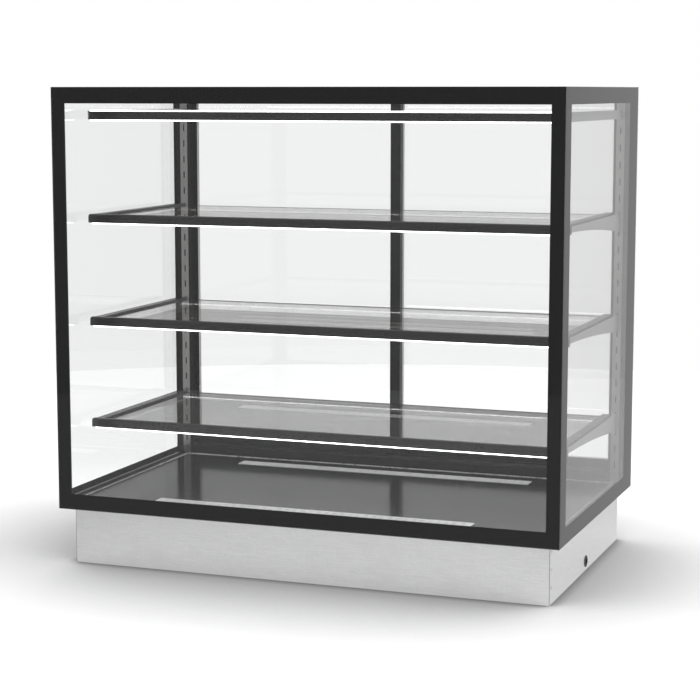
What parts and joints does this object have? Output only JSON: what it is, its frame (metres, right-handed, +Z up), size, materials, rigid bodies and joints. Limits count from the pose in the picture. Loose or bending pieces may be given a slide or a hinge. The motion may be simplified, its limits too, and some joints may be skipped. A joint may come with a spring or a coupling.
{
  "type": "heated drop-in display case",
  "caption": "Heated glass display case that drops into a counter, with lit glass shelves on slotted uprights, rear sliding doors and a stainless base.",
  "frame": {"origin": "centre of the footprint, at the underside of the base floor", "axes": "+X along the front to the shopper's right, +Y from the front glass to the operator's doors, +Z up"},
  "size_m": [1.2, 0.72, 1.109],
  "materials": {
    "clear_glass": "clear float glass with a black printed border",
    "door_glass": "clear float glass",
    "shelf_glass": "clear toughened glass",
    "black_frame": "satin black powder coat",
    "black_door": "satin black anodised extrusion",
    "dark_track": "black anodised extrusion",
    "zinc_upright": "satin stainless strip",
    "shelf_frame": "satin black anodised extrusion",
    "shelf_arm": "satin black powder coat",
    "diffuser": "opal diffuser, lit",
    "light_board": "white solder resist",
    "heating_film": "clear heating film",
    "deck_enamel": "gloss black enamel",
    "stainless": "brushed stainless sheet",
    "grille_steel": "polished perforated stainless",
    "rivet_steel": "blind rivet",
    "rubber": "black rubber",
    "nylon": "black nylon",
    "galvanised": "galvanised sheet",
    "fan_plastic": "black glass-filled plastic",
    "fan_metal": "cast aluminium",
    "element_sheath": "heat-tinted steel sheath",
    "driver_case": "plain aluminium case",
    "controller_plastic": "black moulded plastic",
    "controller_window": "dark red display window",
    "button_plastic": "grey keys",
    "switch_plastic": "black moulded plastic",
    "light_rocker": "green rocker",
    "heat_rocker": "red rocker"
  },
  "bodies": {
    "case": {"front_glass": "clear_glass", "left_glass": "clear_glass", "right_glass": "clear_glass", "top_glass": "clear_glass", "front_bottom_member": "black_frame", "side_bottom_members": "black_frame", "front_top_member": "black_frame", "side_top_members": "black_frame", "front_posts": "black_frame", "rear_posts": "black_frame", "rear_sill": "black_frame", "bottom_door_track": "dark_track", "top_door_track": "black_frame", "left_upright": "zinc_upright", "right_upright": "zinc_upright", "shelf_heating_films": "heating_film", "light_boards": "light_board", "top_light_body": "shelf_frame", "top_light_diffusers": "diffuser", "top_light_arms": "shelf_arm", "deck_tray": "deck_enamel", "air_grilles": "grille_steel", "base_front": "stainless", "base_wrap": "stainless", "base_floor": "galvanised", "base_rivets": "rivet_steel", "cable_grommet": "rubber", "fan_bulkhead": "galvanised", "fan_frame": "fan_metal", "heating_element": "element_sheath", "led_driver": "driver_case", "controller_body": "controller_plastic", "controller_window": "controller_window", "switch_bodies": "switch_plastic", "lower_shelf_frame": "shelf_frame", "lower_shelf_glass": "shelf_glass", "lower_shelf_diffusers": "diffuser", "lower_shelf_arms": "shelf_arm", "middle_shelf_frame": "shelf_frame", "middle_shelf_glass": "shelf_glass", "middle_shelf_diffusers": "diffuser", "middle_shelf_arms": "shelf_arm", "upper_shelf_frame": "shelf_frame", "upper_shelf_glass": "shelf_glass", "upper_shelf_diffusers": "diffuser", "upper_shelf_arms": "shelf_arm"},
    "inner_door": {"inner_door_frame": "black_door", "inner_door_glass": "door_glass", "inner_door_glides": "nylon", "inner_door_pull": "nylon"},
    "outer_door": {"outer_door_frame": "black_door", "outer_door_glass": "door_glass", "outer_door_glides": "nylon", "outer_door_pull": "nylon"},
    "fan_rotor": {"fan_rotor": "fan_plastic"},
    "light_rocker": {"light_rocker": "light_rocker"},
    "heat_rocker": {"heat_rocker": "heat_rocker"},
    "up_button": {"up_button": "button_plastic"},
    "set_button": {"set_button": "button_plastic"},
    "down_button": {"down_button": "button_plastic"}
  },
  "joints": [
    {"name": "inner_door_slide", "type": "slide", "parent": "case", "child": "inner_door", "axis": [1, 0, 0], "range_m": [0, 0.556]},
    {"name": "outer_door_slide", "type": "slide", "parent": "case", "child": "outer_door", "axis": [-1, 0, 0], "range_m": [0, 0.556]},
    {"name": "fan_spin", "type": "hinge", "parent": "case", "child": "fan_rotor", "pos_m": [0, 0, 0.061], "axis": [0, 1, 0], "continuous": true},
    {"name": "light_rocker_tilt", "type": "hinge", "parent": "case", "child": "light_rocker", "pos_m": [0.3, 0.35, 0.1535], "axis": [1, 0, 0], "range_deg": [0, 22]},
    {"name": "heat_rocker_tilt", "type": "hinge", "parent": "case", "child": "heat_rocker", "pos_m": [0.34, 0.35, 0.1535], "axis": [1, 0, 0], "range_deg": [0, 22]},
    {"name": "up_button_press", "type": "slide", "parent": "case", "child": "up_button", "axis": [0, -1, 0], "range_m": [0, 0.0008], "stiffness_N_per_m": 300},
    {"name": "set_button_press", "type": "slide", "parent": "case", "child": "set_button", "axis": [0, -1, 0], "range_m": [0, 0.0008], "stiffness_N_per_m": 300},
    {"name": "down_button_press", "type": "slide", "parent": "case", "child": "down_button", "axis": [0, -1, 0], "range_m": [0, 0.0008], "stiffness_N_per_m": 300}
  ]
}
